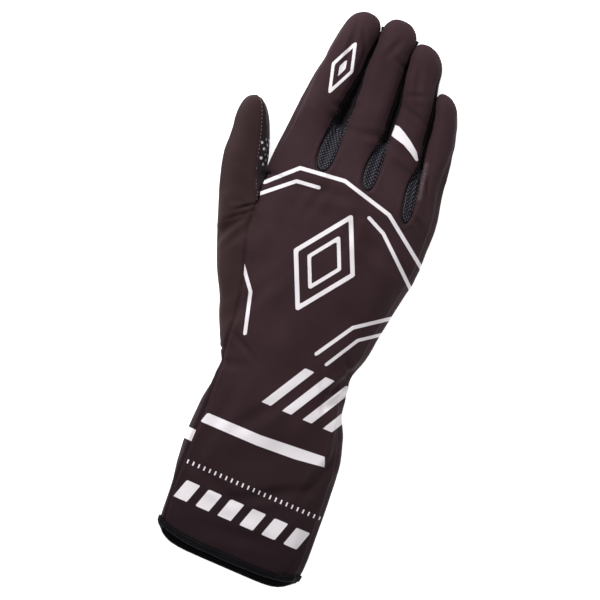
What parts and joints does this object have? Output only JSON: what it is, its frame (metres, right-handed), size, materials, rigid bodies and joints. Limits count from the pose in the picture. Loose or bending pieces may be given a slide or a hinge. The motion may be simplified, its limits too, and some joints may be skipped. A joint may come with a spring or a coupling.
{
  "type": "karting glove",
  "caption": "Long-cuffed right-hand karting glove in dark knit with printed light lines, mesh strips between the fingers, a gripped thumb and a bound cuff",
  "frame": {"origin": "middle of the bottom of the whole glove, on the floor it rests on", "axes": "+Y along the hand to the fingertips, +X to the little finger, +Z out of the back of the hand"},
  "size_m": [0.127, 0.2974, 0.0265],
  "materials": {
    "back_knit": "smooth stretch knit with light printed lines",
    "palm_cloth": "matt suede-like cloth",
    "thumb_knit": "smooth stretch knit",
    "grip_cloth": "matt cloth with raised silvery grip dots",
    "mesh": "dotted mesh",
    "cuff_knit": "smooth stretch knit",
    "binding_tape": "ribbed woven tape"
  },
  "bodies": {
    "root": {"back_panel": "back_knit", "palm_panel": "palm_cloth", "thumb_back": "thumb_knit", "thumb_front": "grip_cloth", "fourchette_index_middle": "mesh", "fourchette_middle_ring": "mesh", "fourchette_ring_little": "mesh", "cuff_under": "cuff_knit", "cuff_binding": "binding_tape"}
  },
  "joints": []
}
